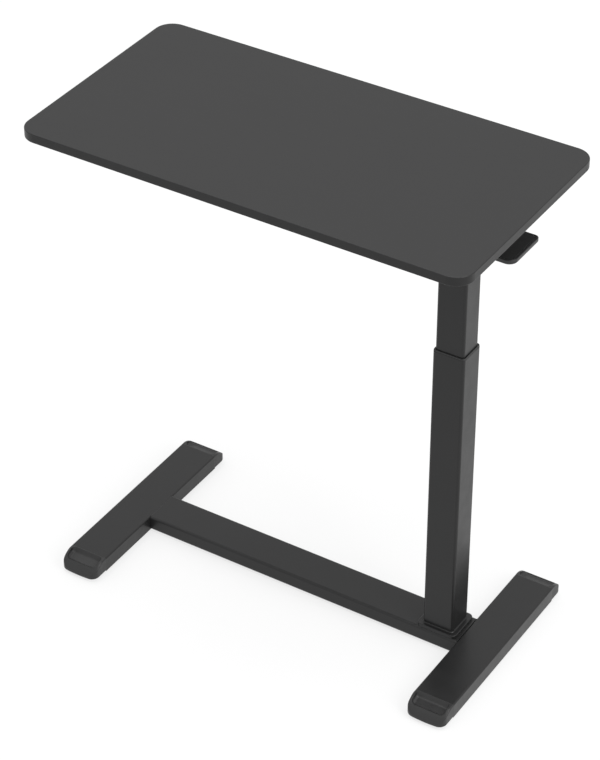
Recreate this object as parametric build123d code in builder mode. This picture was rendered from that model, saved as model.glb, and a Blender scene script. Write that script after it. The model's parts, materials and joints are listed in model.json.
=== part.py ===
from build123d import *
from math import cos, radians
import os

# Overbed table with a telescopic gas-lift column, as an assembly of separate pieces.
#
# Millimetres, +Z up. The origin is on the floor, below the centre of the tabletop. X runs along
# the tabletop's long side, and the column stands near its +X end. The pose is a working height
# between the column's two stops.

os.makedirs("parts", exist_ok=True)

# ---- driving dimensions -------------------------------------------------------------------

TOP_LENGTH = 800.0
TOP_DEPTH = 416.0
TOP_THICKNESS = 16.0
TOP_RADIUS = 32.0
TOP_HEIGHT = 885.0
BAND = 2.0                      # edge banding thickness
BAND_EDGE = 1.5                 # rounding of the banding's outer edges

GROUND_GAP = 5.0                # floor to the underside of the feet
FOOT_WIDTH = 72.0
FOOT_HEIGHT = 28.0
FOOT_LENGTH = 416.0             # over both plastic ends
FOOT_WALL = 2.0
FOOT_EDGE = 2.5
FOOT_LEFT_X = -335.0
FOOT_RIGHT_X = 359.0
CAP_LENGTH = 37.0               # plastic end beyond the steel
CAP_RADIUS = 14.5
CAP_BULGE = 2.8                 # how far the end's arc stands out at its middle
CAP_PLUG = 12.0                 # part of the end that sits inside the steel

BEAM_WALL = 2.0
BEAM_EDGE = 4.5
END_PLATE = 4.0

COLUMN_X = 281.0
OUTER_X, OUTER_Y, OUTER_R, OUTER_WALL = 57.0, 53.0, 5.0, 1.8
INNER_X, INNER_Y, INNER_R, INNER_WALL = 51.6, 47.6, 5.0, 2.0
OUTER_TOP = 602.0               # over the guide bush
GUIDE_LIP = 3.0
GUIDE_DEPTH = 40.0
SLIDE_GAP = 0.3                 # play on each side of a sliding face
LIFT_UP = 180.0                 # travel from this pose to the upper stop
OVERLAP = 130.0                 # inner tube left inside the guide at full height

PLATE_X, PLATE_Y, PLATE_R, PLATE_THICKNESS = 74.0, 68.0, 9.0, 6.0
PLATE_EDGE = 1.5

RAIL_WIDTH, RAIL_HEIGHT, RAIL_WALL = 30.0, 18.0, 1.5
RAIL_Y = 85.0
RAIL_START_X, RAIL_END_X = -330.0, 378.0
HEAD_X, HEAD_Y, HEAD_R, HEAD_THICKNESS = 140.0, 220.0, 10.0, 5.0
HEAD_BOLT_X = 50.0
TOP_SCREW_X = (-300.0, -125.0, 50.0, 190.0, 364.0)

CYLINDER_R, CYLINDER_WALL, CYLINDER_LENGTH = 14.0, 1.8, 430.0
CYLINDER_STAND = 7.0            # base plate to the underside of the cylinder
ROD_R = 5.0
ROD_DROP = 16.0                 # lever pivot down to the top of the piston rod
VALVE_PIN_R = 2.3
VALVE_PIN_REACH = 5.0           # how far the pin stands out of the rod

PIVOT_X = 316.0
PIVOT_Z = 816.0
PIVOT_R = 3.0
LEVER_WIDTH, LEVER_THICKNESS = 22.0, 5.0
ARM_END_X = 379.0
PADDLE_X0, PADDLE_X1, PADDLE_THICKNESS = 347.0, 391.0, 8.0
PADDLE_FRONT, PADDLE_BACK = -39.0, 47.0

CASTER_Y = 135.0
CASTER_TRAIL = 9.0
WHEEL_R, WHEEL_WIDTH = 12.0, 14.0
AXLE_R = 2.0
KINGPIN_R = 3.0

M8_R, M6_R = 4.0, 3.0
M8_FLATS, M6_FLATS = 13.0, 10.0
PIN_PLAY = 0.1                  # play around a pin, on the radius
HEX_RATIO = 1.0 / cos(radians(30))   # corner radius over half the width across flats

# ---- heights and places worked out from them ------------------------------------------------

foot_top = GROUND_GAP + FOOT_HEIGHT
foot_middle = GROUND_GAP + FOOT_HEIGHT / 2
steel_length = FOOT_LENGTH - 2 * CAP_LENGTH
beam_x0 = FOOT_LEFT_X + FOOT_WIDTH / 2
beam_x1 = FOOT_RIGHT_X - FOOT_WIDTH / 2
plate_top = foot_top + PLATE_THICKNESS
top_underside = TOP_HEIGHT - TOP_THICKNESS
rail_bottom = top_underside - RAIL_HEIGHT
head_bottom = rail_bottom - HEAD_THICKNESS
tube_top = OUTER_TOP - GUIDE_LIP
inner_bottom = OUTER_TOP - LIFT_UP - OVERLAP
rod_top = PIVOT_Z - ROD_DROP
pin_top = rod_top + VALVE_PIN_REACH
guide_hole_x = INNER_X + 2 * SLIDE_GAP
guide_hole_y = INNER_Y + 2 * SLIDE_GAP
bore_x, bore_y = OUTER_X - 2 * OUTER_WALL, OUTER_Y - 2 * OUTER_WALL
bore_r = OUTER_R - OUTER_WALL
cylinder_bottom = plate_top + CYLINDER_STAND
cylinder_top = cylinder_bottom + CYLINDER_LENGTH
foot_centres = {"left": FOOT_LEFT_X, "right": FOOT_RIGHT_X}
ends = {"front": -1, "rear": 1}


def at_column(height):
    """Horizontal plane on the column's axis, at the given height."""
    return Plane((COLUMN_X, 0, height))


def across_x(x, y, z, way=1):
    """Upright plane facing along X, with its own Y axis pointing up."""
    return Plane((x, y, z), x_dir=(0, way, 0), z_dir=(way, 0, 0))


def across_y(x, y, z):
    """Upright plane facing the front, with X to the right and up as its own axes."""
    return Plane((x, y, z), x_dir=(1, 0, 0), z_dir=(0, -1, 0))


# ---- tabletop -------------------------------------------------------------------------------

top_screw_points = [(x, side * RAIL_Y) for x in TOP_SCREW_X for side in (-1, 1)]
SCREW_R, SCREW_DEPTH = 2.0, 12.0

with BuildPart() as tabletop:
    with BuildSketch(Plane.XY.offset(top_underside)):
        RectangleRounded(TOP_LENGTH - 2 * BAND, TOP_DEPTH - 2 * BAND, TOP_RADIUS - BAND)
    extrude(amount=TOP_THICKNESS)
    with BuildSketch(Plane.XY.offset(top_underside)):
        with Locations(*top_screw_points):
            Circle(SCREW_R)
    extrude(amount=SCREW_DEPTH, mode=Mode.SUBTRACT)

with BuildPart() as tabletop_edge_band:
    with BuildSketch(Plane.XY.offset(top_underside)):
        RectangleRounded(TOP_LENGTH, TOP_DEPTH, TOP_RADIUS)
    extrude(amount=TOP_THICKNESS)
    rims = tabletop_edge_band.faces().filter_by(Axis.Z).edges()
    fillet(rims, BAND_EDGE)
    with BuildSketch(Plane.XY.offset(top_underside)):
        RectangleRounded(TOP_LENGTH - 2 * BAND, TOP_DEPTH - 2 * BAND, TOP_RADIUS - BAND)
    extrude(amount=TOP_THICKNESS, mode=Mode.SUBTRACT)

# ---- support rails, head plate and their fasteners -------------------------------------------

SCREW_HEAD_R, SCREW_HEAD = 4.0, 2.6
ACCESS_R = 5.0
NUT_R, NUT_LENGTH, BOLT_HEAD = 4.5, 9.0, 4.0


def support_rail(side):
    """Rectangular tube below the tabletop, with screw holes above access holes."""
    with BuildPart() as rail:
        with BuildSketch(across_x(RAIL_START_X, side * RAIL_Y, rail_bottom + RAIL_HEIGHT / 2)):
            Rectangle(RAIL_WIDTH, RAIL_HEIGHT)
            Rectangle(RAIL_WIDTH - 2 * RAIL_WALL, RAIL_HEIGHT - 2 * RAIL_WALL, mode=Mode.SUBTRACT)
        extrude(amount=RAIL_END_X - RAIL_START_X)
        with BuildSketch(Plane.XY.offset(rail_bottom)):
            with Locations(*[(x, side * RAIL_Y) for x in TOP_SCREW_X]):
                Circle(ACCESS_R)
            with Locations(*[(COLUMN_X + dx, side * RAIL_Y) for dx in (-HEAD_BOLT_X, HEAD_BOLT_X)]):
                Circle(NUT_R)
        extrude(amount=RAIL_WALL, mode=Mode.SUBTRACT)
        with BuildSketch(Plane.XY.offset(top_underside - RAIL_WALL)):
            with Locations(*[(x, side * RAIL_Y) for x in TOP_SCREW_X]):
                Circle(SCREW_R)
        extrude(amount=RAIL_WALL, mode=Mode.SUBTRACT)
    return rail


rail_front = support_rail(-1)
rail_rear = support_rail(1)

PLUG_FLANGE, PLUG_DEPTH, PLUG_R = 2.0, 10.0, 1.0

with BuildPart() as rail_end_plugs:
    for x, outwards in ((RAIL_START_X, -1), (RAIL_END_X, 1)):
        for side in (-1, 1):
            mouth = across_x(x, side * RAIL_Y, rail_bottom + RAIL_HEIGHT / 2, outwards)
            with BuildSketch(mouth):
                RectangleRounded(RAIL_WIDTH, RAIL_HEIGHT, PLUG_R)
            extrude(amount=PLUG_FLANGE)
            with BuildSketch(mouth):
                Rectangle(RAIL_WIDTH - 2 * RAIL_WALL, RAIL_HEIGHT - 2 * RAIL_WALL)
            extrude(amount=-PLUG_DEPTH)

with BuildPart() as tabletop_screws:
    with BuildSketch(Plane.XY.offset(top_underside - RAIL_WALL - SCREW_HEAD)):
        with Locations(*top_screw_points):
            Circle(SCREW_HEAD_R)
    extrude(amount=SCREW_HEAD)
    with BuildSketch(Plane.XY.offset(top_underside - RAIL_WALL)):
        with Locations(*top_screw_points):
            Circle(SCREW_R)
    extrude(amount=RAIL_WALL + SCREW_DEPTH)

ROD_HOLE_R = 12.0
head_bolt_points = [(dx, side * RAIL_Y) for dx in (-HEAD_BOLT_X, HEAD_BOLT_X) for side in (-1, 1)]

with BuildPart() as head_plate:
    with BuildSketch(at_column(head_bottom)):
        RectangleRounded(HEAD_X, HEAD_Y, HEAD_R)
        Circle(ROD_HOLE_R, mode=Mode.SUBTRACT)
        with Locations(*head_bolt_points):
            Circle(M6_R, mode=Mode.SUBTRACT)
    extrude(amount=HEAD_THICKNESS)

with BuildPart() as rivet_nuts:
    with BuildSketch(at_column(rail_bottom)):
        with Locations(*head_bolt_points):
            Circle(NUT_R)
            Circle(M6_R, mode=Mode.SUBTRACT)
    extrude(amount=NUT_LENGTH)

with BuildPart() as head_bolts:
    with BuildSketch(at_column(head_bottom)):
        with Locations(*head_bolt_points):
            RegularPolygon(M6_FLATS / 2 * HEX_RATIO, 6)
    extrude(amount=-BOLT_HEAD)
    with BuildSketch(at_column(head_bottom)):
        with Locations(*head_bolt_points):
            Circle(M6_R)
    extrude(amount=HEAD_THICKNESS + NUT_LENGTH)

# Three triangular webs brace the head plate against the inner tube, clear of the lever.
GUSSET, GUSSET_TIP, GUSSET_THICKNESS = 42.0, 4.0, 3.0

with BuildPart() as head_gussets:
    for dx, dy, reach in ((-1, 0, INNER_X / 2), (0, 1, INNER_Y / 2), (0, -1, INNER_Y / 2)):
        with BuildSketch(Plane((COLUMN_X, 0, head_bottom), x_dir=(dx, dy, 0), z_dir=(dy, -dx, 0))):
            with BuildLine():
                Polyline((reach, 0), (reach + GUSSET, 0), (reach + GUSSET, -GUSSET_TIP),
                         (reach + GUSSET_TIP, -GUSSET), (reach, -GUSSET), close=True)
            make_face()
        extrude(amount=GUSSET_THICKNESS / 2, both=True)

# ---- telescopic column ------------------------------------------------------------------------

SLOT_HALF_WIDTH, SLOT_HALF_HEIGHT = 13.0, 11.0
LIP_INSET, LIP_CHAMFER = 0.3, 0.8

with BuildPart() as outer_column:
    with BuildSketch(at_column(plate_top)):
        RectangleRounded(OUTER_X, OUTER_Y, OUTER_R)
        RectangleRounded(bore_x, bore_y, bore_r, mode=Mode.SUBTRACT)
    extrude(amount=tube_top - plate_top)

with BuildPart() as guide_bush:
    with BuildSketch(at_column(tube_top - GUIDE_DEPTH)):
        RectangleRounded(bore_x, bore_y, bore_r)
        RectangleRounded(guide_hole_x, guide_hole_y, INNER_R + SLIDE_GAP, mode=Mode.SUBTRACT)
    extrude(amount=GUIDE_DEPTH)
    with BuildSketch(at_column(tube_top)):
        RectangleRounded(OUTER_X - 2 * LIP_INSET, OUTER_Y - 2 * LIP_INSET, OUTER_R - LIP_INSET)
        RectangleRounded(guide_hole_x, guide_hole_y, INNER_R + SLIDE_GAP, mode=Mode.SUBTRACT)
    extrude(amount=GUIDE_LIP)
    lip_top = guide_bush.faces().sort_by(Axis.Z)[-1]
    chamfer(lip_top.outer_wire().edges(), LIP_CHAMFER)

with BuildPart() as inner_column:
    with BuildSketch(at_column(inner_bottom)):
        RectangleRounded(INNER_X, INNER_Y, INNER_R)
        RectangleRounded(INNER_X - 2 * INNER_WALL, INNER_Y - 2 * INNER_WALL,
                         INNER_R - INNER_WALL, mode=Mode.SUBTRACT)
    extrude(amount=head_bottom - inner_bottom)
    with BuildSketch(across_x(COLUMN_X, 0, PIVOT_Z)):
        Rectangle(2 * SLOT_HALF_WIDTH, 2 * SLOT_HALF_HEIGHT)
    extrude(amount=INNER_X, mode=Mode.SUBTRACT)

SLIDER_LENGTH, SLIDER_LIP = 60.0, 3.0
SLIDER_STOP = 3.0               # how far the lip reaches under the tube's wall
slider_x, slider_y = bore_x - 2 * SLIDE_GAP, bore_y - 2 * SLIDE_GAP

with BuildPart() as column_slider:
    with BuildSketch(at_column(inner_bottom - SLIDER_LIP)):
        RectangleRounded(slider_x, slider_y, bore_r)
        RectangleRounded(INNER_X - 2 * SLIDER_STOP, INNER_Y - 2 * SLIDER_STOP, SLIDER_STOP,
                         mode=Mode.SUBTRACT)
    extrude(amount=SLIDER_LIP)
    with BuildSketch(at_column(inner_bottom)):
        RectangleRounded(slider_x, slider_y, bore_r)
        RectangleRounded(INNER_X, INNER_Y, INNER_R, mode=Mode.SUBTRACT)
    extrude(amount=SLIDER_LENGTH)

# ---- lockable gas spring ------------------------------------------------------------------------

CYLINDER_GUIDE, CYLINDER_FLOOR, CYLINDER_EDGE = 14.0, 8.0, 2.0
PISTON_LENGTH, PISTON_SPARE = 16.0, 2.0
STUD_R, STUD_NUT_FLATS, STUD_NUT_HEIGHT = 5.0, 17.0, 6.0
SEAT_HEIGHT = 18.0
piston_top = cylinder_top - CYLINDER_GUIDE - LIFT_UP - PISTON_SPARE
cylinder_bore = CYLINDER_R - CYLINDER_WALL

with BuildPart() as gas_spring_cylinder:
    with BuildSketch(at_column(foot_top)):
        Circle(STUD_R)
    extrude(amount=cylinder_bottom - foot_top)
    with BuildSketch(at_column(cylinder_bottom)):
        Circle(CYLINDER_R)
    extrude(amount=CYLINDER_LENGTH)
    cylinder_rims = gas_spring_cylinder.faces().sort_by(Axis.Z)[-1].edges()
    fillet(cylinder_rims, CYLINDER_EDGE)
    with BuildSketch(at_column(cylinder_bottom + CYLINDER_FLOOR)):
        Circle(cylinder_bore)
    extrude(amount=CYLINDER_LENGTH - CYLINDER_FLOOR - CYLINDER_GUIDE, mode=Mode.SUBTRACT)
    with BuildSketch(at_column(cylinder_top)):
        Circle(ROD_R + SLIDE_GAP)
    extrude(amount=-2 * CYLINDER_GUIDE, mode=Mode.SUBTRACT)

with BuildPart() as gas_spring_nut:
    with BuildSketch(at_column(plate_top)):
        RegularPolygon(STUD_NUT_FLATS / 2 * HEX_RATIO, 6)
        Circle(STUD_R, mode=Mode.SUBTRACT)
    extrude(amount=STUD_NUT_HEIGHT)

VALVE_BORE_DEPTH, VALVE_PIN_LENGTH, VALVE_PIN_CHAMFER = 40.0, 34.0, 0.4

with BuildPart() as gas_spring_rod:
    with BuildSketch(at_column(piston_top - PISTON_LENGTH)):
        Circle(ROD_R)
    extrude(amount=rod_top - piston_top + PISTON_LENGTH)
    with BuildSketch(at_column(rod_top)):
        Circle(VALVE_PIN_R + SLIDE_GAP)
    extrude(amount=-VALVE_BORE_DEPTH, mode=Mode.SUBTRACT)

with BuildPart() as gas_spring_piston:
    with BuildSketch(at_column(piston_top - PISTON_LENGTH)):
        Circle(cylinder_bore - SLIDE_GAP)
        Circle(ROD_R, mode=Mode.SUBTRACT)
    extrude(amount=PISTON_LENGTH)

with BuildPart() as release_pin:
    with BuildSketch(at_column(pin_top)):
        Circle(VALVE_PIN_R)
    extrude(amount=-VALVE_PIN_LENGTH)
    pin_rim = release_pin.faces().sort_by(Axis.Z)[-1].edges()
    chamfer(pin_rim, VALVE_PIN_CHAMFER)

with BuildPart() as rod_seat:
    with BuildSketch(at_column(rod_top - SEAT_HEIGHT)):
        RectangleRounded(INNER_X - 2 * INNER_WALL, INNER_Y - 2 * INNER_WALL, INNER_R - INNER_WALL)
        Circle(ROD_R, mode=Mode.SUBTRACT)
    extrude(amount=SEAT_HEIGHT)

# ---- release lever --------------------------------------------------------------------------------

tube_face = COLUMN_X + INNER_X / 2
EAR_THICKNESS, EAR_GAP, EAR_HEIGHT, EAR_REACH, EAR_R = 3.0, 1.0, 30.0, 18.0, 3.0
BRACKET_HEIGHT, BRACKET_THICKNESS = 34.0, 2.0
PIVOT_END, PIVOT_HEAD_R, PIVOT_HEAD = 1.0, 5.0, 2.0
ear_inside = LEVER_WIDTH / 2 + EAR_GAP
bracket_width = 2 * (ear_inside + EAR_THICKNESS)
nose_z = pin_top + SLIDE_GAP
lever_bottom = PIVOT_Z - LEVER_THICKNESS / 2
lever_top = PIVOT_Z + LEVER_THICKNESS / 2
NOSE_R, EYE_R = 4.0, 6.5

with BuildPart() as lever_bracket:
    with BuildSketch(across_x(tube_face, 0, PIVOT_Z)):
        Rectangle(bracket_width, BRACKET_HEIGHT)
        Rectangle(2 * ear_inside, 2 * SLOT_HALF_HEIGHT, mode=Mode.SUBTRACT)
    extrude(amount=BRACKET_THICKNESS)
    for side in (-1, 1):
        with BuildSketch(across_y(tube_face, side * (ear_inside + EAR_THICKNESS / 2), PIVOT_Z)):
            with Locations((EAR_REACH / 2, 0)):
                RectangleRounded(EAR_REACH, EAR_HEIGHT, EAR_R)
            with Locations((BRACKET_THICKNESS / 2, 0)):
                Rectangle(BRACKET_THICKNESS, BRACKET_HEIGHT)
            with Locations((PIVOT_X - tube_face, 0)):
                Circle(PIVOT_R, mode=Mode.SUBTRACT)
        extrude(amount=EAR_THICKNESS / 2, both=True)

with BuildPart() as lever_pivot_pin:
    with BuildSketch(across_y(PIVOT_X, 0, PIVOT_Z)):
        Circle(PIVOT_R)
    extrude(amount=bracket_width / 2 + PIVOT_END, both=True)
    with BuildSketch(across_y(PIVOT_X, -bracket_width / 2, PIVOT_Z)):
        Circle(PIVOT_HEAD_R)
    extrude(amount=PIVOT_HEAD)

with BuildPart() as release_lever:
    with BuildSketch(across_y(0, 0, 0)):
        with BuildLine():
            Polyline((COLUMN_X - NOSE_R, nose_z + NOSE_R), (COLUMN_X - NOSE_R, lever_top),
                     (ARM_END_X, lever_top), (ARM_END_X, lever_bottom),
                     (COLUMN_X + NOSE_R, lever_bottom), (COLUMN_X + NOSE_R, nose_z + NOSE_R))
            ThreePointArc((COLUMN_X + NOSE_R, nose_z + NOSE_R), (COLUMN_X, nose_z),
                          (COLUMN_X - NOSE_R, nose_z + NOSE_R))
        make_face()
        with Locations((PIVOT_X, PIVOT_Z)):
            Circle(EYE_R)
            Circle(PIVOT_R + PIN_PLAY, mode=Mode.SUBTRACT)
    extrude(amount=LEVER_WIDTH / 2, both=True)

PADDLE_FRONT_R, PADDLE_BACK_R, PADDLE_INNER_R = 15.0, 8.0, 8.0
PADDLE_TOP_EDGE, PADDLE_BOTTOM_EDGE = 1.2, 2.5
GROOVE_INSET, GROOVE_WIDTH, GROOVE_DEPTH = 3.5, 1.2, 1.2
paddle_top = PIVOT_Z + PADDLE_THICKNESS / 2
paddle_centre = ((PADDLE_X0 + PADDLE_X1) / 2, (PADDLE_FRONT + PADDLE_BACK) / 2, paddle_top)
paddle_length = PADDLE_X1 - PADDLE_X0
paddle_width = PADDLE_BACK - PADDLE_FRONT


def paddle_outline(inset):
    """Plan of the paddle drawn in by the given distance; its front outer corner is the rounder."""
    with BuildSketch(Plane(paddle_centre)) as outline:
        Rectangle(paddle_length - 2 * inset, paddle_width - 2 * inset)
        fillet(outline.vertices().group_by(Axis.X)[0], PADDLE_INNER_R - inset)
        fillet(outline.vertices().group_by(Axis.X)[-1].sort_by(Axis.Y)[-1], PADDLE_BACK_R - inset)
        fillet(outline.vertices().group_by(Axis.X)[-1].sort_by(Axis.Y)[0], PADDLE_FRONT_R - inset)
    return outline.sketch


with BuildPart() as lever_paddle:
    add(paddle_outline(0))
    extrude(amount=-PADDLE_THICKNESS)
    top_rim = lever_paddle.faces().sort_by(Axis.Z)[-1].edges()
    fillet(top_rim, PADDLE_TOP_EDGE)
    bottom_rim = lever_paddle.faces().sort_by(Axis.Z)[0].edges()
    fillet(bottom_rim, PADDLE_BOTTOM_EDGE)
    add(paddle_outline(GROOVE_INSET) - paddle_outline(GROOVE_INSET + GROOVE_WIDTH))
    extrude(amount=-GROOVE_DEPTH, mode=Mode.SUBTRACT)
    with BuildSketch(across_x(PADDLE_X0, 0, PIVOT_Z)):
        Rectangle(LEVER_WIDTH, LEVER_THICKNESS)
    extrude(amount=ARM_END_X - PADDLE_X0, mode=Mode.SUBTRACT)

# ---- base: feet, their plastic ends, cross beam and base plate ---------------------------------------

FOOT_BOLT_Y = 20.0
FOOT_BOLT_HEAD, FOOT_BOLT_LENGTH = 5.3, 12.0
foot_bolt_points = [(-FOOT_BOLT_Y, 0), (FOOT_BOLT_Y, 0)]


def foot_channel(centre_x, inwards, flush):
    """Steel channel, open below, with two bolt holes in the side that meets the beam.

    A flush foot keeps its square top edge where the beam meets it, so that both tops run together.
    """
    with BuildPart() as channel:
        with BuildSketch(Plane((centre_x, 0, GROUND_GAP))):
            Rectangle(FOOT_WIDTH, steel_length)
        extrude(amount=FOOT_HEIGHT)
        long_edges = channel.faces().sort_by(Axis.Z)[-1].edges().filter_by(Axis.Y)
        fillet(long_edges, FOOT_EDGE)
        if flush:
            with BuildSketch(Plane((centre_x + inwards * (FOOT_WIDTH - FOOT_EDGE) / 2, 0, foot_top))):
                Rectangle(FOOT_EDGE, FOOT_WIDTH - 2 * BEAM_EDGE)
            extrude(amount=-FOOT_EDGE)
        with BuildSketch(Plane((centre_x, 0, GROUND_GAP))):
            Rectangle(FOOT_WIDTH - 2 * FOOT_WALL, steel_length)
        extrude(amount=FOOT_HEIGHT - FOOT_WALL, mode=Mode.SUBTRACT)
        with BuildSketch(across_x(centre_x, 0, foot_middle, inwards)):
            with Locations(*foot_bolt_points):
                Circle(M8_R)
        extrude(amount=FOOT_WIDTH, mode=Mode.SUBTRACT)
    return channel


foot_left = foot_channel(FOOT_LEFT_X, 1, True)
foot_right = foot_channel(FOOT_RIGHT_X, -1, False)


# Side view of a plastic end, as (distance beyond the steel, height above its underside).
CROWN = (6.0, FOOT_HEIGHT)
BROW, CHEEK = (16.0, FOOT_HEIGHT), (32.0, 15.0)     # the points that shape the curve to the tip
TIP = (CAP_LENGTH, 5.0)
BELOW_TIP = (CAP_LENGTH + 2.5, 0)
NOSE_BOTTOM_R = 3.0
# The shallow scoop in the top of each end.
SCOOP_INSET, SCOOP_CORNER_R = 5.0, 8.0
SCOOP_R, SCOOP_SIDE_R = 6.0, 6.5
SCOOP_CLEAR = FOOT_HEIGHT + 1.6
SCOOP_TOP, SCOOP_FOOT, SCOOP_LEDGE = (0, SCOOP_CLEAR), (6.0, 20.0), (27.3, 15.3)


def foot_scoop(side_view):
    """The space taken out of a plastic end: a steep wall, a gently sloping floor and a low ledge."""
    with BuildPart() as scoop:
        with BuildSketch(side_view) as hollow:
            with BuildLine():
                Polyline(SCOOP_TOP, SCOOP_FOOT, SCOOP_LEDGE, (SCOOP_LEDGE[0], SCOOP_CLEAR), close=True)
            make_face()
            fillet(hollow.vertices().sort_by_distance(SCOOP_FOOT)[0], SCOOP_R)
        extrude(amount=FOOT_WIDTH / 2 - SCOOP_INSET, both=True)
        upright = scoop.edges().filter_by(Axis.Z)
        fillet(upright, SCOOP_CORNER_R)
        floor = scoop.faces().filter_by(GeomType.PLANE).sort_by(Axis.Z)[0]
        floor_sides = [edge for edge in floor.edges() if abs(edge.tangent_at(0.5).Y) > 0.9]
        fillet(floor_sides, SCOOP_SIDE_R)
    return scoop.part


def foot_cap(centre_x, end):
    """Plastic end: a convex crown running down to the tip, scooped on top, with a plug in the steel."""
    steel_end = end * steel_length / 2
    side_view = across_x(centre_x, steel_end, GROUND_GAP, end)
    half = FOOT_WIDTH / 2
    shoulder = CAP_LENGTH - CAP_BULGE
    with BuildPart() as cap:
        with BuildSketch(side_view):
            with BuildLine():
                Bezier(CROWN, BROW, CHEEK, TIP)
                Polyline(TIP, BELOW_TIP, (0, 0), (0, FOOT_HEIGHT), CROWN)
            make_face()
        extrude(amount=half, both=True)
        with BuildSketch(Plane((centre_x, steel_end, GROUND_GAP), x_dir=(end, 0, 0))) as plan:
            with BuildLine():
                ThreePointArc((-half, shoulder), (0, CAP_LENGTH), (half, shoulder))
                Polyline((half, shoulder), (half, 0), (-half, 0), (-half, shoulder))
            make_face()
            fillet(plan.vertices().group_by(Axis.Y)[-1], CAP_RADIUS)
        extrude(amount=FOOT_HEIGHT, mode=Mode.INTERSECT)
        underside = cap.faces().sort_by(Axis.Z)[0]
        joint = cap.faces().sort_by(Axis.Y, reverse=end < 0)[0]
        fillet(underside.edges() - joint.edges(), NOSE_BOTTOM_R)
        sides = cap.faces().filter_by(Axis.X)
        side_tops = [side.edges().sort_by(Axis.Z)[-1] for side in sides]
        fillet(side_tops, FOOT_EDGE)
        add(foot_scoop(side_view), mode=Mode.SUBTRACT)
        with BuildSketch(Plane((centre_x, steel_end - end * CAP_PLUG / 2, GROUND_GAP))):
            Rectangle(FOOT_WIDTH - 2 * FOOT_WALL, CAP_PLUG)
        extrude(amount=FOOT_HEIGHT - FOOT_WALL)
    return cap


caps = {(side, end): foot_cap(x, sign)
        for side, x in foot_centres.items() for end, sign in ends.items()}

# ---- beam, its end plates and the base plate ---------------------------------------------------

BASE_SCREW_X, BASE_SCREW_Y = 17.0, 14.0
BASE_ACCESS_R, BUTTON_HEAD_R, BUTTON_HEAD = 8.0, 6.5, 4.4
BASE_SCREW_SHORT = 0.5          # the screws end this far below the base plate's top
base_screw_points = [(dx, dy) for dx in (-BASE_SCREW_X, BASE_SCREW_X)
                     for dy in (-BASE_SCREW_Y, BASE_SCREW_Y)]

with BuildPart() as cross_beam:
    with BuildSketch(across_x(beam_x0, 0, foot_middle)):
        RectangleRounded(FOOT_WIDTH, FOOT_HEIGHT, BEAM_EDGE)
        RectangleRounded(FOOT_WIDTH - 2 * BEAM_WALL, FOOT_HEIGHT - 2 * BEAM_WALL,
                         BEAM_EDGE - BEAM_WALL, mode=Mode.SUBTRACT)
    extrude(amount=beam_x1 - beam_x0)
    with BuildSketch(at_column(GROUND_GAP)):
        with Locations(*base_screw_points):
            Circle(BASE_ACCESS_R)
    extrude(amount=BEAM_WALL, mode=Mode.SUBTRACT)
    with BuildSketch(at_column(foot_top - BEAM_WALL)):
        with Locations(*base_screw_points):
            Circle(M8_R)
    extrude(amount=BEAM_WALL, mode=Mode.SUBTRACT)


def end_plate(mouth_x, inwards):
    """Tapped plate just inside the mouth of the beam."""
    with BuildPart() as plate:
        with BuildSketch(across_x(mouth_x, 0, foot_middle, inwards)):
            RectangleRounded(FOOT_WIDTH - 2 * BEAM_WALL, FOOT_HEIGHT - 2 * BEAM_WALL,
                             BEAM_EDGE - BEAM_WALL)
            with Locations(*foot_bolt_points):
                Circle(M8_R, mode=Mode.SUBTRACT)
        extrude(amount=END_PLATE)
    return plate


beam_end_plate_left = end_plate(beam_x0, 1)
beam_end_plate_right = end_plate(beam_x1, -1)

with BuildPart() as foot_bolts:
    for mouth_x, inwards in ((beam_x0, 1), (beam_x1, -1)):
        seat = across_x(mouth_x - inwards * FOOT_WALL, 0, foot_middle, inwards)
        with BuildSketch(seat):
            with Locations(*foot_bolt_points):
                RegularPolygon(M8_FLATS / 2 * HEX_RATIO, 6)
        extrude(amount=-FOOT_BOLT_HEAD)
        with BuildSketch(seat):
            with Locations(*foot_bolt_points):
                Circle(M8_R)
        extrude(amount=FOOT_BOLT_LENGTH)

with BuildPart() as base_plate:
    with BuildSketch(at_column(foot_top)):
        RectangleRounded(PLATE_X, PLATE_Y, PLATE_R)
    extrude(amount=PLATE_THICKNESS)
    plate_rim = base_plate.faces().sort_by(Axis.Z)[-1].edges()
    fillet(plate_rim, PLATE_EDGE)
    with BuildSketch(at_column(foot_top)):
        Circle(STUD_R)
        with Locations(*base_screw_points):
            Circle(M8_R)
    extrude(amount=PLATE_THICKNESS, mode=Mode.SUBTRACT)

with BuildPart() as base_screws:
    with BuildSketch(at_column(foot_top - BEAM_WALL)):
        with Locations(*base_screw_points):
            Circle(BUTTON_HEAD_R)
    extrude(amount=-BUTTON_HEAD)
    with BuildSketch(at_column(foot_top - BEAM_WALL)):
        with Locations(*base_screw_points):
            Circle(M8_R)
    extrude(amount=BEAM_WALL + PLATE_THICKNESS - BASE_SCREW_SHORT)

# ---- hidden swivel casters -----------------------------------------------------------------------

channel_ceiling = foot_top - FOOT_WALL
CASTER_PLATE, CASTER_PLATE_X, CASTER_PLATE_Y, CASTER_PLATE_R = 2.5, 50.0, 44.0, 5.0
FORK_SHEET, FORK_DEPTH, FORK_BACK, FORK_R = 2.5, 24.0, 4.0, 2.0
LEG_INSIDE, LEG_THICKNESS, LEG_HALF_TOP, LEG_END_R = 7.7, 2.0, 10.0, 5.0
WHEEL_EDGE = 1.5
RIVET_HEAD_R, RIVET_HEAD = 5.0, 1.2
AXLE_HEAD_R, AXLE_HEAD = 3.5, 1.0
plate_bottom = channel_ceiling - CASTER_PLATE
fork_top = plate_bottom - SLIDE_GAP
fork_bottom = fork_top - FORK_SHEET
rivet_top = fork_bottom - SLIDE_GAP
leg_outside = LEG_INSIDE + LEG_THICKNESS


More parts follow.
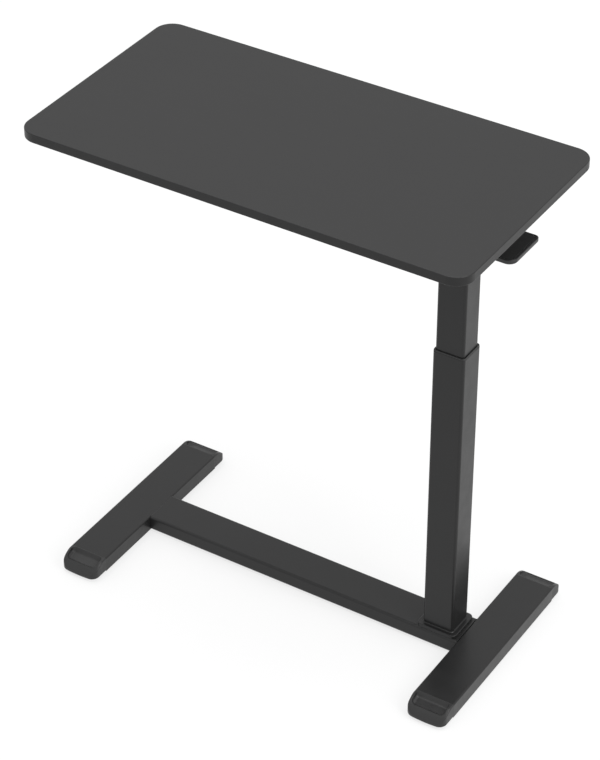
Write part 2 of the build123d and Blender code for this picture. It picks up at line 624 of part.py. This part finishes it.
def caster(centre_x, centre_y):
    """Mounting plate with its rivet, fork, axle and wheel; the wheel trails towards -Y."""
    with BuildPart() as mount:
        with BuildSketch(Plane((centre_x, centre_y, plate_bottom))):
            RectangleRounded(CASTER_PLATE_X, CASTER_PLATE_Y, CASTER_PLATE_R)
        extrude(amount=CASTER_PLATE)
        with BuildSketch(Plane((centre_x, centre_y, rivet_top))):
            Circle(KINGPIN_R)
        extrude(amount=plate_bottom - rivet_top)
        with BuildSketch(Plane((centre_x, centre_y, rivet_top))):
            Circle(RIVET_HEAD_R)
        extrude(amount=-RIVET_HEAD)

    with BuildPart() as fork:
        with BuildSketch(Plane((centre_x, centre_y - FORK_BACK, fork_bottom))):
            RectangleRounded(2 * leg_outside, FORK_DEPTH, FORK_R)
            with Locations((0, FORK_BACK)):
                Circle(KINGPIN_R + PIN_PLAY, mode=Mode.SUBTRACT)
        extrude(amount=FORK_SHEET)
        for side in (-1, 1):
            leg = across_x(centre_x + side * LEG_INSIDE, centre_y, 0, side)
            axle_y = -CASTER_TRAIL * side
            top_y = -FORK_BACK * side
            leg_back, leg_front = (axle_y - LEG_END_R, WHEEL_R), (axle_y + LEG_END_R, WHEEL_R)
            with BuildSketch(leg):
                with BuildLine():
                    Polyline(leg_back, (top_y - LEG_HALF_TOP, fork_bottom),
                             (top_y + LEG_HALF_TOP, fork_bottom), leg_front)
                    ThreePointArc(leg_front, (axle_y, WHEEL_R - LEG_END_R), leg_back)
                make_face()
                with Locations((axle_y, WHEEL_R)):
                    Circle(AXLE_R, mode=Mode.SUBTRACT)
            extrude(amount=LEG_THICKNESS)

    with BuildPart() as axle:
        with BuildSketch(across_x(centre_x, centre_y - CASTER_TRAIL, WHEEL_R)):
            Circle(AXLE_R)
        extrude(amount=leg_outside, both=True)
        for side in (-1, 1):
            with BuildSketch(across_x(centre_x + side * leg_outside, centre_y - CASTER_TRAIL,
                                      WHEEL_R, side)):
                Circle(AXLE_HEAD_R)
            extrude(amount=AXLE_HEAD)

    with BuildPart() as wheel:
        with BuildSketch(across_x(centre_x, centre_y - CASTER_TRAIL, WHEEL_R)):
            Circle(WHEEL_R)
        extrude(amount=WHEEL_WIDTH / 2, both=True)
        fillet(wheel.edges(), WHEEL_EDGE)
        with BuildSketch(across_x(centre_x, centre_y - CASTER_TRAIL, WHEEL_R)):
            Circle(AXLE_R + PIN_PLAY)
        extrude(amount=WHEEL_WIDTH, both=True, mode=Mode.SUBTRACT)

    return {"plate": mount, "fork": fork, "axle": axle, "wheel": wheel}


casters = {(side, end): caster(x, sign * CASTER_Y)
           for side, x in foot_centres.items() for end, sign in ends.items()}

# ---- labels and files ------------------------------------------------------------------------------

pieces = {
    "tabletop": tabletop,
    "tabletop_edge_band": tabletop_edge_band,
    "tabletop_screws": tabletop_screws,
    "rail_front": rail_front,
    "rail_rear": rail_rear,
    "rail_end_plugs": rail_end_plugs,
    "rivet_nuts": rivet_nuts,
    "head_plate": head_plate,
    "head_bolts": head_bolts,
    "head_gussets": head_gussets,
    "inner_column": inner_column,
    "column_slider": column_slider,
    "outer_column": outer_column,
    "guide_bush": guide_bush,
    "gas_spring_cylinder": gas_spring_cylinder,
    "gas_spring_nut": gas_spring_nut,
    "gas_spring_rod": gas_spring_rod,
    "gas_spring_piston": gas_spring_piston,
    "rod_seat": rod_seat,
    "release_pin": release_pin,
    "lever_bracket": lever_bracket,
    "lever_pivot_pin": lever_pivot_pin,
    "release_lever": release_lever,
    "lever_paddle": lever_paddle,
    "base_plate": base_plate,
    "base_screws": base_screws,
    "cross_beam": cross_beam,
    "beam_end_plate_left": beam_end_plate_left,
    "beam_end_plate_right": beam_end_plate_right,
    "foot_bolts": foot_bolts,
    "foot_left": foot_left,
    "foot_right": foot_right,
}
for (side, end), cap in caps.items():
    pieces[f"foot_cap_{side}_{end}"] = cap
for (side, end), made in casters.items():
    for part_name, piece in made.items():
        pieces[f"caster_{part_name}_{side}_{end}"] = piece

for name, piece in pieces.items():
    piece.part.label = name
    export_step(piece.part, f"parts/{name}.step")
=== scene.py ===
import json
from math import cos, pi, radians, sin

import bmesh
import bpy
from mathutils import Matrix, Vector


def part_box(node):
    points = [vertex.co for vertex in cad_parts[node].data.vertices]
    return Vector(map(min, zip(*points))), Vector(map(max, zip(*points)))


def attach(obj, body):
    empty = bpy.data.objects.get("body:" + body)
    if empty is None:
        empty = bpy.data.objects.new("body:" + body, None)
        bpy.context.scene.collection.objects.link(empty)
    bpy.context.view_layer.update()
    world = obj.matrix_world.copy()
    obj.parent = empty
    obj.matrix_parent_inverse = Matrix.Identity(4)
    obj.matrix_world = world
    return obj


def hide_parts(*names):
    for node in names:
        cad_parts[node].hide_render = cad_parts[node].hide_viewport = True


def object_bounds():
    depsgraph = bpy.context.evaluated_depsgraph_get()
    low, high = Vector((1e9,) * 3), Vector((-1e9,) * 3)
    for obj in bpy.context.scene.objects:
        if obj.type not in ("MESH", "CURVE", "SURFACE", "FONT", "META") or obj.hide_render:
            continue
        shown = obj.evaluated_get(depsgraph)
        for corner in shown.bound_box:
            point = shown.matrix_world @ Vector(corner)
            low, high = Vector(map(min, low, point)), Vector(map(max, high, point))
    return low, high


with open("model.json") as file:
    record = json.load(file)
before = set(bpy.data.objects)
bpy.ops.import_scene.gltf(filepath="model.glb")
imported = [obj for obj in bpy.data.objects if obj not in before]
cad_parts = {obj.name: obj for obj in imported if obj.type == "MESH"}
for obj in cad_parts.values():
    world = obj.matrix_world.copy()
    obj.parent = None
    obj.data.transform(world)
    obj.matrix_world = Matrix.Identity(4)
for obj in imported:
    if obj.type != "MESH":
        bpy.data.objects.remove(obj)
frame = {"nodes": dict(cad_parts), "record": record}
cad_low, cad_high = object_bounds()

# An overbed table in dark powder coat with a laminate top. Metres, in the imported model's frame.
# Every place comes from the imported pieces' boxes.

scene = bpy.context.scene
nodes = frame["nodes"]
body_of = {node: body for body, members in frame["record"]["behaviour"]["bodies"].items()
           for node in members}

# ---- camera ---------------------------------------------------------------------------------

AZIMUTH, ELEVATION = 32.138, 36.202      # degrees; azimuth 0 looks along +Y
DISTANCE = 4.4156                        # from the object's centre
AIM_RIGHT, AIM_UP = -0.0068, -0.0120     # the picture's centre, off the object's centre
LENS, SENSOR = 127.38, 36.0


def add_camera():
    azimuth, elevation = radians(AZIMUTH), radians(ELEVATION)
    back = Vector((sin(azimuth) * cos(elevation), -cos(azimuth) * cos(elevation), sin(elevation)))
    right = Vector((cos(azimuth), sin(azimuth), 0))
    up = back.cross(right)
    camera = bpy.data.objects.new("camera", bpy.data.cameras.new("camera"))
    camera.data.lens = LENS
    camera.data.sensor_width = SENSOR
    centre = (cad_low + cad_high) / 2
    camera.location = centre + back * DISTANCE + right * AIM_RIGHT + up * AIM_UP
    camera.rotation_euler = (pi / 2 - elevation, 0, azimuth)
    scene.collection.objects.link(camera)
    scene.camera = camera


add_camera()

# ---- floor and light ------------------------------------------------------------------------

FLOOR_SIZE = 60.0
FLOOR_SHADE, FLOOR_GLOW = 0.18, 0.73
SKY_STRENGTH = 1.10
# name, place, point aimed at, size in metres, power in watts
SOFTBOXES = (
    ("key_light", (3.2, -0.6, 2.6), (0, 0, 0.5), (2.0, 2.0), 70),
    ("overhead_light", (0, 0, 5.0), (0, 0, 0), (4.0, 4.0), 157),
)


def add_floor():
    bm = bmesh.new()
    bmesh.ops.create_grid(bm, x_segments=8, y_segments=8, size=FLOOR_SIZE / 2)
    mesh = bpy.data.meshes.new("floor")
    bm.to_mesh(mesh)
    bm.free()
    floor = bpy.data.objects.new("floor", mesh)
    scene.collection.objects.link(floor)
    material = bpy.data.materials.new("pale_floor")
    material.use_nodes = True
    shader = material.node_tree.nodes["Principled BSDF"]
    shader.inputs["Base Color"].default_value = (FLOOR_SHADE, FLOOR_SHADE, FLOOR_SHADE, 1)
    shader.inputs["Roughness"].default_value = 0.9
    shader.inputs["Specular IOR Level"].default_value = 0.1
    shader.inputs["Emission Color"].default_value = (1, 1, 1, 1)
    shader.inputs["Emission Strength"].default_value = FLOOR_GLOW
    mesh.materials.append(material)


def add_softbox(name, place, aim, size, power):
    light = bpy.data.lights.new(name, "AREA")
    light.shape = "RECTANGLE"
    light.size, light.size_y = size
    light.energy = power
    box = bpy.data.objects.new(name, light)
    box.location = place
    box.rotation_euler = (Vector(aim) - Vector(place)).to_track_quat("-Z", "Y").to_euler()
    scene.collection.objects.link(box)


def add_sky():
    world = bpy.data.worlds.new("studio")
    world.use_nodes = True
    background = world.node_tree.nodes["Background"]
    background.inputs["Color"].default_value = (1, 1, 1, 1)
    background.inputs["Strength"].default_value = SKY_STRENGTH
    scene.world = world


add_floor()
add_sky()
for softbox in SOFTBOXES:
    add_softbox(*softbox)
scene.view_settings.view_transform = "Standard"

# ---- materials --------------------------------------------------------------------------------


def start_material(name, roughness, metallic=0.0, specular=0.5):
    material = bpy.data.materials.new(name)
    material.use_nodes = True
    shader = material.node_tree.nodes["Principled BSDF"]
    shader.inputs["Roughness"].default_value = roughness
    shader.inputs["Metallic"].default_value = metallic
    shader.inputs["Specular IOR Level"].default_value = specular
    return material, material.node_tree, shader


def noise(tree, scale, detail=2.0, stretch=(1, 1, 1), rough=0.5):
    """Noise in the piece's own space; scale is in blobs per metre."""
    coordinates = tree.nodes.new("ShaderNodeTexCoord")
    mapping = tree.nodes.new("ShaderNodeMapping")
    mapping.inputs["Scale"].default_value = stretch
    texture = tree.nodes.new("ShaderNodeTexNoise")
    texture.inputs["Scale"].default_value = scale
    texture.inputs["Detail"].default_value = detail
    texture.inputs["Roughness"].default_value = rough
    tree.links.new(coordinates.outputs["Object"], mapping.inputs["Vector"])
    tree.links.new(mapping.outputs["Vector"], texture.inputs["Vector"])
    return texture.outputs["Fac"]


def spread(tree, value, low, high, start=0.3, end=0.7):
    """Stretches the middle of a noise's range to low..high."""
    node = tree.nodes.new("ShaderNodeMapRange")
    node.inputs["From Min"].default_value = start
    node.inputs["From Max"].default_value = end
    node.inputs["To Min"].default_value = low
    node.inputs["To Max"].default_value = high
    tree.links.new(value, node.inputs["Value"])
    return node.outputs["Result"]


def mixed(tree, factor, first, second):
    """Colour between two colours, each an RGB triple or a socket."""
    node = tree.nodes.new("ShaderNodeMix")
    node.data_type = "RGBA"
    tree.links.new(factor, node.inputs["Factor"])
    for socket, colour in ((node.inputs["A"], first), (node.inputs["B"], second)):
        if isinstance(colour, tuple):
            socket.default_value = (*colour, 1)
        else:
            tree.links.new(colour, socket)
    return node.outputs["Result"]


def bump(tree, height, depth, below=None):
    """Relief of the given depth in metres, on top of another relief if there is one."""
    node = tree.nodes.new("ShaderNodeBump")
    node.inputs["Strength"].default_value = 1.0
    node.inputs["Distance"].default_value = depth
    tree.links.new(height, node.inputs["Height"])
    if below:
        tree.links.new(below, node.inputs["Normal"])
    return node.outputs["Normal"]


def soft_edges(tree, shader, radius):
    """Rounds sharp edges off in the shading, beneath whatever relief is already linked."""
    rounded = tree.nodes.new("ShaderNodeBevel")
    rounded.samples = 6
    rounded.inputs["Radius"].default_value = radius
    lowest = shader.inputs["Normal"].links[0].from_node
    while lowest.inputs["Normal"].is_linked:
        lowest = lowest.inputs["Normal"].links[0].from_node
    tree.links.new(rounded.outputs["Normal"], lowest.inputs["Normal"])
    return rounded


def edge_mask(tree, rounded, patches):
    """One along edges and zero on open faces, broken up by the given noise."""
    geometry = tree.nodes.new("ShaderNodeNewGeometry")
    turned = tree.nodes.new("ShaderNodeVectorMath")
    turned.operation = "DOT_PRODUCT"
    tree.links.new(rounded.outputs["Normal"], turned.inputs[0])
    tree.links.new(geometry.outputs["Normal"], turned.inputs[1])
    edge = spread(tree, turned.outputs["Value"], 1, 0, 0.80, 0.97)
    product = tree.nodes.new("ShaderNodeMath")
    product.operation = "MULTIPLY"
    tree.links.new(edge, product.inputs[0])
    tree.links.new(patches, product.inputs[1])
    return product.outputs["Value"]


def grey(level):
    return (level, level, level * 1.01)


def powder_coat():
    """Charcoal powder coat: faint orange peel over a fine texture."""
    material, tree, shader = start_material("powder_coat_charcoal", 0.32, specular=0.26)
    clouds = spread(tree, noise(tree, 14, 3), 0, 1)
    speckle = spread(tree, noise(tree, 900, 2), 0, 1)
    base = mixed(tree, clouds, grey(0.0100), grey(0.0116))
    coat = mixed(tree, speckle, base, grey(0.0128))
    tree.links.new(spread(tree, noise(tree, 40, 4), 0.28, 0.36), shader.inputs["Roughness"])
    peel = bump(tree, noise(tree, 380, 1), 0.00003)
    tree.links.new(bump(tree, noise(tree, 2400, 1), 0.000006, peel), shader.inputs["Normal"])
    patches = spread(tree, noise(tree, 70, 4), 0, 1, 0.5, 0.75)
    worn = edge_mask(tree, soft_edges(tree, shader, 0.0008), patches)
    tree.links.new(mixed(tree, worn, coat, grey(0.030)), shader.inputs["Base Color"])
    return material


def laminate():
    """Satin dark grey laminate with a fine pebbled press texture."""
    material, tree, shader = start_material("laminate_dark_grey", 0.5, specular=0.27)
    clouds = spread(tree, noise(tree, 5, 3), 0, 1)
    speckle = spread(tree, noise(tree, 1500, 1), 0, 1)
    base = mixed(tree, clouds, grey(0.0100), grey(0.0110))
    tree.links.new(mixed(tree, speckle, base, grey(0.0120)), shader.inputs["Base Color"])
    wiped = noise(tree, 12, 4, (1, 5, 1))
    tree.links.new(spread(tree, wiped, 0.502, 0.510), shader.inputs["Roughness"])
    tree.links.new(bump(tree, noise(tree, 1400, 2), 0.00002), shader.inputs["Normal"])
    return material


def edge_band():
    """Extruded plastic edging, a little smoother than the laminate."""
    material, tree, shader = start_material("edging_dark_grey", 0.38, specular=0.25)
    base = mixed(tree, spread(tree, noise(tree, 60, 3), 0, 1), grey(0.0105), grey(0.0125))
    tree.links.new(base, shader.inputs["Base Color"])
    drawn = noise(tree, 120, 3, (0.2, 0.2, 8))
    tree.links.new(spread(tree, drawn, 0.33, 0.43), shader.inputs["Roughness"])
    tree.links.new(bump(tree, drawn, 0.00001), shader.inputs["Normal"])
    return material


def black_plastic():
    """Moulded charcoal plastic with a fine spark-eroded grain."""
    material, tree, shader = start_material("moulded_plastic_charcoal", 0.42, specular=0.34)
    base = mixed(tree, spread(tree, noise(tree, 30, 3), 0, 1), grey(0.0140), grey(0.0168))
    tree.links.new(base, shader.inputs["Base Color"])
    tree.links.new(spread(tree, noise(tree, 90, 3), 0.36, 0.46), shader.inputs["Roughness"])
    tree.links.new(bump(tree, noise(tree, 1700, 2), 0.000018), shader.inputs["Normal"])
    soft_edges(tree, shader, 0.0006)
    return material


def zinc_steel():
    """Bright zinc plating with faint cloudy passivation and handling scratches."""
    material, tree, shader = start_material("zinc_plated_steel", 0.3, metallic=1.0)
    clouds = spread(tree, noise(tree, 160, 3), 0, 1)
    base = mixed(tree, clouds, (0.52, 0.53, 0.55), (0.62, 0.61, 0.58))
    tree.links.new(base, shader.inputs["Base Color"])
    tree.links.new(spread(tree, noise(tree, 300, 3), 0.24, 0.42), shader.inputs["Roughness"])
    scratches = noise(tree, 700, 2, (1, 0.15, 1))
    tree.links.new(bump(tree, scratches, 0.00001), shader.inputs["Normal"])
    soft_edges(tree, shader, 0.0004)
    return material


def bright_rod():
    """Hard chrome with very fine polishing marks round the rod."""
    material, tree, shader = start_material("hard_chrome", 0.1, metallic=1.0)
    rings = noise(tree, 200, 2, (1, 1, 12))
    base = mixed(tree, spread(tree, rings, 0, 1), (0.70, 0.71, 0.72), (0.76, 0.76, 0.77))
    tree.links.new(base, shader.inputs["Base Color"])
    tree.links.new(spread(tree, rings, 0.07, 0.16), shader.inputs["Roughness"])
    tree.links.new(bump(tree, rings, 0.000003), shader.inputs["Normal"])
    return material


def black_enamel():
    """Smooth black enamel of the gas spring's cylinder."""
    material, tree, shader = start_material("black_enamel", 0.2, specular=0.5)
    base = mixed(tree, spread(tree, noise(tree, 50, 3), 0, 1), grey(0.008), grey(0.012))
    tree.links.new(base, shader.inputs["Base Color"])
    tree.links.new(spread(tree, noise(tree, 80, 3), 0.16, 0.26), shader.inputs["Roughness"])
    tree.links.new(bump(tree, noise(tree, 300, 1), 0.00001), shader.inputs["Normal"])
    return material


def wheel_polymer():
    """Dark polyurethane, dusty where it has rolled."""
    material, tree, shader = start_material("wheel_polyurethane", 0.6, specular=0.4)
    dust = spread(tree, noise(tree, 220, 4), 0, 1, 0.45, 0.75)
    tree.links.new(mixed(tree, dust, grey(0.016), (0.045, 0.043, 0.040)), shader.inputs["Base Color"])
    tree.links.new(spread(tree, noise(tree, 200, 3), 0.5, 0.75), shader.inputs["Roughness"])
    tree.links.new(bump(tree, noise(tree, 900, 3), 0.00004), shader.inputs["Normal"])
    return material


materials = {
    "laminate": laminate(),
    "edge_band": edge_band(),
    "powder_coat": powder_coat(),
    "black_plastic": black_plastic(),
    "zinc_steel": zinc_steel(),
    "bright_rod": bright_rod(),
    "black_enamel": black_enamel(),
    "wheel_polymer": wheel_polymer(),
}
slot_of = {row["node"]: row["material_slot"] for row in frame["record"]["subparts"]}

for node, slot in slot_of.items():
    for material_slot in nodes[node].material_slots:
        material_slot.material = materials[slot]

# ---- pieces -----------------------------------------------------------------------------------

AROUND = 48                              # facets round a turned piece
ROUNDING_STEPS = 6                       # facets along a rounded edge
SHARP_ANGLE = 35                         # degrees; a sharper edge than this isn't smoothed
SAME_PLACE = 0.00001                     # vertices closer than this are one
HAIR = 0.0002                            # the smallest step in a turned outline
THREAD_PITCH, THREAD_DEPTH = 0.00125, 0.0004


def add_piece(name, bm, node, replaces=False):
    """A finished mesh that rides and is finished like the given node."""
    bmesh.ops.recalc_face_normals(bm, faces=bm.faces)
    mesh = bpy.data.meshes.new(name)
    bm.to_mesh(mesh)
    bm.free()
    mesh.shade_smooth()
    mesh.set_sharp_from_angle(angle=radians(SHARP_ANGLE))
    piece = bpy.data.objects.new(name, mesh)
    scene.collection.objects.link(piece)
    mesh.materials.append(materials[slot_of[node]])
    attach(piece, body_of[node])
    if replaces:
        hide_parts(node)


def hexagon(flats, angle):
    """Distance from the middle to a hexagon's outline."""
    return flats / 2 / cos((angle + pi / 6) % (pi / 3) - pi / 6)


def add_rings(bm, rings, place, axis):
    """Skins rings of (radius, distance along the axis, hexagonal or not); closes both ends."""
    turn = Vector((0, 0, 1)).rotation_difference(Vector(axis)).to_matrix()
    loops = []
    for radius, along, is_hexagon in rings:
        loop = []
        for step in range(AROUND):
            angle = 2 * pi * step / AROUND
            reach = hexagon(2 * radius, angle) if is_hexagon else radius
            point = turn @ Vector((reach * cos(angle), reach * sin(angle), along))
            loop.append(bm.verts.new(point + Vector(place)))
        loops.append(loop)
    for first, second in zip(loops, loops[1:]):
        for i in range(AROUND):
            j = (i + 1) % AROUND
            bm.faces.new((first[i], first[j], second[j], second[i]))
    bm.faces.new(loops[0])
    bm.faces.new(loops[-1])


def islands(node):
    """Lowest and highest corners of each separate solid of a CAD node, in order of place."""
    bm = bmesh.new()
    bm.from_mesh(nodes[node].data)
    bm.transform(nodes[node].matrix_world)
    bmesh.ops.remove_doubles(bm, verts=bm.verts, dist=SAME_PLACE)
    left, boxes = set(bm.verts), []
    while left:
        reached, waiting = set(), [left.pop()]
        while waiting:
            vertex = waiting.pop()
            reached.add(vertex)
            near = [edge.other_vert(vertex) for edge in vertex.link_edges]
            waiting += [other for other in near if other in left]
            left.difference_update(near)
        corners = [vertex.co for vertex in reached]
        boxes.append((Vector([min(c[k] for c in corners) for k in range(3)]),
                      Vector([max(c[k] for c in corners) for k in range(3)])))
    bm.free()
    boxes.sort(key=lambda box: tuple(round(value, 5) for value in box[0]))
    return boxes


def screw_rings(head, shank, head_height, length, socket, crown):
    """A socket screw seen from its head at zero: recess, rounded head, then a threaded shank."""
    rings = [(socket * 0.9, head_height * 0.6, True), (socket, head_height * 0.55, True),
             (socket, HAIR, True), (socket * 1.25, 0, False)]
    for step in range(ROUNDING_STEPS + 1):
        angle = pi / 2 * step / ROUNDING_STEPS
        rings.append((head - crown + crown * sin(angle), crown * (1 - cos(angle)), False))
    rings += [(head, head_height - HAIR, False), (head - HAIR, head_height, False),
              (shank, head_height, False)]
    root = shank - THREAD_DEPTH
    turns = int((length - head_height) / THREAD_PITCH) - 1
    for turn in range(turns):
        start = head_height + THREAD_PITCH * (turn + 0.5)
        rings += [(shank, start, False), (root, start + THREAD_PITCH / 2, False)]
    rings.append((root, length, False))
    return rings


# node, shank radius, head height, socket radius, rounding of the head
upright_screws = (
    ("tabletop_screws", 0.0020, 0.0025, 0.0015, 0.0012),
    ("base_screws", 0.0040, 0.0044, 0.0025, 0.0030),
)
for node, shank, head_height, socket, crown in upright_screws:
    bm = bmesh.new()
    for box_low, box_high in islands(node):
        middle = (box_low + box_high) / 2
        head = (box_high.x - box_low.x) / 2
        length = box_high.z - box_low.z
        rings = screw_rings(head, shank, head_height, length, socket, crown)
        add_rings(bm, rings, (middle.x, middle.y, box_low.z), (0, 0, 1))
    add_piece(node + "_detailed", bm, node, replaces=True)


WHEEL_BORE = 0.0021                      # radius
HUB_BOSS, BOSS_FOOT = 0.0015, 0.0018     # beyond the bore
TREAD_ROUNDING, SHOULDER_DROP = 0.0020, 0.0003


def wheel_rings(radius, width):
    """Section of a wheel: hub boss, dished web, shoulder and a rounded tread, then its mirror image."""
    half = width / 2
    inner, shoulder = radius - TREAD_ROUNDING, half - SHOULDER_DROP
    section = [(WHEEL_BORE, half), (WHEEL_BORE + HUB_BOSS, half), (WHEEL_BORE + BOSS_FOOT, half - 0.0006),
               (radius * 0.55, half - 0.0016), (radius * 0.70, half - 0.0012),
               (radius * 0.76, half - HAIR), (radius * 0.84, half), (inner, shoulder)]
    for step in range(1, ROUNDING_STEPS + 1):
        angle = pi / 2 * step / ROUNDING_STEPS
        section.append((inner + TREAD_ROUNDING * sin(angle), shoulder - TREAD_ROUNDING * (1 - cos(angle))))
    mirrored = [(r, -along) for r, along in reversed(section)]
    return [(r, along, False) for r, along in section + mirrored]


for node in [name for name in slot_of if name.startswith("caster_wheel")]:
    box_low, box_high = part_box(node)
    size = Vector(box_high) - Vector(box_low)
    bm = bmesh.new()
    rings = wheel_rings(size.z / 2, size.x)
    add_rings(bm, rings, (Vector(box_low) + Vector(box_high)) / 2, (1, 0, 0))
    bm.faces.ensure_lookup_table()
    bmesh.ops.delete(bm, geom=bm.faces[-2:], context="FACES_ONLY")
    rim = [edge for edge in bm.edges if edge.is_boundary]
    bmesh.ops.bridge_loops(bm, edges=rim)
    add_piece(node + "_moulded", bm, node, replaces=True)

RIPPLE, RIPPLE_DEPTH = 0.0021, 0.035     # spacing of a weld's ripples; depth as a share of its leg
WANDER, WANDER_DEPTH = 0.0090, 0.040     # the slower unevenness of a bead laid by hand
BEAD_STEP = 0.0003                       # spacing of a bead's sections
BEAD_SINK = 0.0003                       # how far a bead's foot goes into the parts it joins
BEAD_ARC_STEPS, BEAD_FLATNESS = 5, 0.22
GUSSET_LEG, GUSSET_END = 0.0022, 0.001   # leg of a gusset's beads, and what they leave free at its ends


def straight_run(start, end, out):
    """Evenly spaced points strictly between two ends."""
    count = int((end - start).length / BEAD_STEP)
    return [(start.lerp(end, k / count), out) for k in range(1, count)]


def rounded_path(middle, half_x, half_y, corner):
    """Points and outward directions, evenly spaced round a rounded rectangle."""
    path = []
    for turn, (way_x, way_y) in enumerate(((1, 1), (-1, 1), (-1, -1), (1, -1))):
        centre = middle + Vector((way_x * (half_x - corner), way_y * (half_y - corner), 0))
        steps = max(6, int(pi / 2 * corner / BEAD_STEP))
        arc = []
        for step in range(steps + 1):
            angle = pi / 2 * (turn + step / steps)
            out = Vector((cos(angle), sin(angle), 0))
            arc.append((centre + out * corner, out))
        if path:
            start, out = path[-1]
            path += straight_run(start, arc[0][0], out)
        path += arc
    start, out = path[-1]
    return path + straight_run(start, path[0][0], out)


def add_bead(name, node, path, size, up, closed):
    """A fillet weld: a rippled, slightly convex strip with its foot pushed into both parts."""
    bm = bmesh.new()
    loops, travelled, before = [], 0.0, path[0][0]
    for point, out in path:
        travelled += (point - before).length
        before = point
        ripple = RIPPLE_DEPTH * sin(2 * pi * travelled / RIPPLE)
        wander = WANDER_DEPTH * sin(2 * pi * travelled / WANDER)
        leg = size * (1 + ripple + wander)
        section = [point - out * BEAD_SINK + up * leg]
        for step in range(BEAD_ARC_STEPS + 1):
            angle = pi / 2 * step / BEAD_ARC_STEPS
            reach = leg * (1 - BEAD_FLATNESS * sin(2 * angle))
            section.append(point + out * reach * sin(angle) + up * reach * cos(angle))
        section += [point + out * leg - up * BEAD_SINK, point - out * BEAD_SINK - up * BEAD_SINK]
        loops.append([bm.verts.new(corner) for corner in section])
    pairs = list(zip(loops, loops[1:])) + ([(loops[-1], loops[0])] if closed else [])
    for first, second in pairs:
        for i in range(len(first)):
            j = (i + 1) % len(first)
            bm.faces.new((first[i], first[j], second[j], second[i]))
    if not closed:
        bm.faces.new(loops[0])
        bm.faces.new(loops[-1])
    add_piece(name, bm, node)


UP = Vector((0, 0, 1))
# (tube, plate it is welded to, corner radius, bead leg, up or down from the plate)
tube_welds = (
    ("outer_column", "base_plate", 0.005, 0.0015, UP),
    ("inner_column", "head_plate", 0.005, 0.0025, -UP),
)
for tube, plate, corner, leg, up in tube_welds:
    tube_low, tube_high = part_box(tube)
    plate_low, plate_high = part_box(plate)
    middle = (Vector(tube_low) + Vector(tube_high)) / 2
    middle.z = plate_high[2] if up.z > 0 else plate_low[2]
    half_x, half_y = (tube_high[0] - tube_low[0]) / 2, (tube_high[1] - tube_low[1]) / 2
    add_bead(tube + "_weld", tube, rounded_path(middle, half_x, half_y, corner), leg, up, True)

for index, (gusset_low, gusset_high) in enumerate(islands("head_gussets")):
    along_y = gusset_high.x - gusset_low.x < gusset_high.y - gusset_low.y
    run, across = (1, 0) if along_y else (0, 1)
    for way in (-1, 1):
        out = Vector((0, 0, 0))
        out[across] = way
        start, end = gusset_low.copy(), gusset_high.copy()
        start[across] = end[across] = (gusset_high if way > 0 else gusset_low)[across]
        start.z = end.z = gusset_high.z
        start[run] += GUSSET_END
        end[run] -= GUSSET_END
        path = [(start, out)] + straight_run(start, end, out) + [(end, out)]
        side = "a" if way < 0 else "b"
        add_bead(f"gusset_weld_{index}_{side}", "head_gussets", path, GUSSET_LEG, -UP, False)
